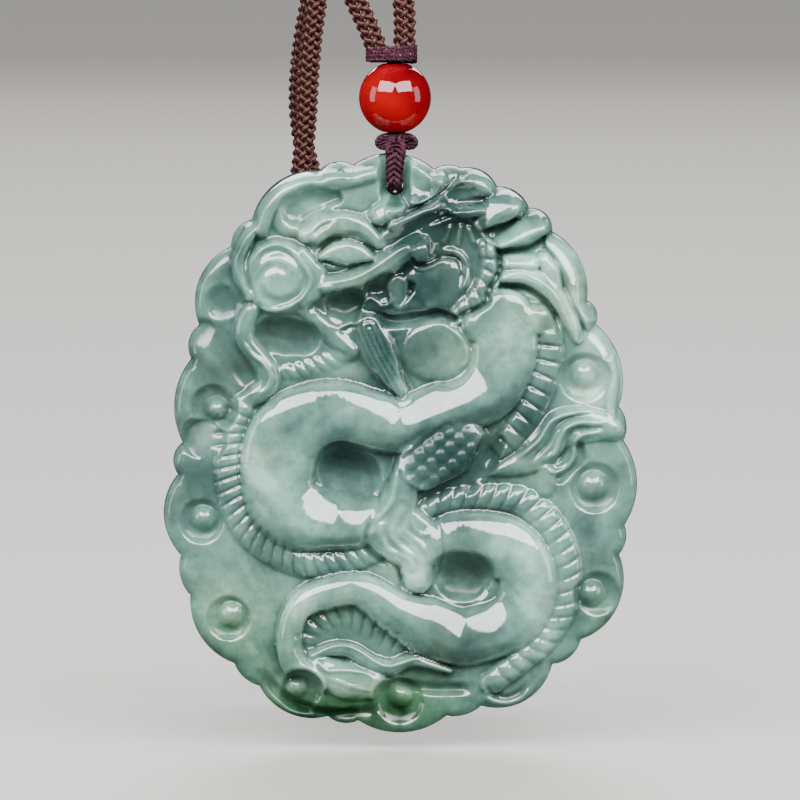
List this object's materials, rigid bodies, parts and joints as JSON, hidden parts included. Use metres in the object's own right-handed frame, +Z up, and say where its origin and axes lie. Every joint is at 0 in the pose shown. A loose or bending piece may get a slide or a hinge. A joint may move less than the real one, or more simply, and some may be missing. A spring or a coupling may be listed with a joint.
{
  "type": "jade dragon pendant necklace",
  "caption": "Pale green stone plaque carved in relief with a coiled dragon, hung by a thread loop under a red bead from a looped braided cord.",
  "frame": {"origin": "under the top of the cord's arch, where the necklace hangs on a peg or at a neck", "axes": "+Z up, -Y to the front, the side that carries the carving, +X to the viewer's right"},
  "size_m": [0.0475, 0.0423, 0.1695],
  "materials": {
    "jade": "high polish",
    "bead": "high polish",
    "thread": "silky",
    "cord": "silky"
  },
  "bodies": {
    "necklace": {"necklace_cord_left": "cord", "necklace_cord_right": "cord", "back_knot": "cord", "top_wrap": "thread", "loop_knot": "thread", "hanging_loop": "thread"},
    "pendant": {"jade_plaque": "jade"},
    "bead": {"red_bead": "bead"}
  },
  "joints": [
    {"name": "pendant_rock", "type": "hinge", "parent": "necklace", "child": "pendant", "pos_m": [0.0021, -0.016, -0.11188], "axis": [0, 1, 0], "range_deg": [-8, 8]},
    {"name": "bead_turn", "type": "hinge", "parent": "necklace", "child": "bead", "pos_m": [0.0021, -0.016, -0.10314], "axis": [0, 0, 1], "continuous": true}
  ]
}
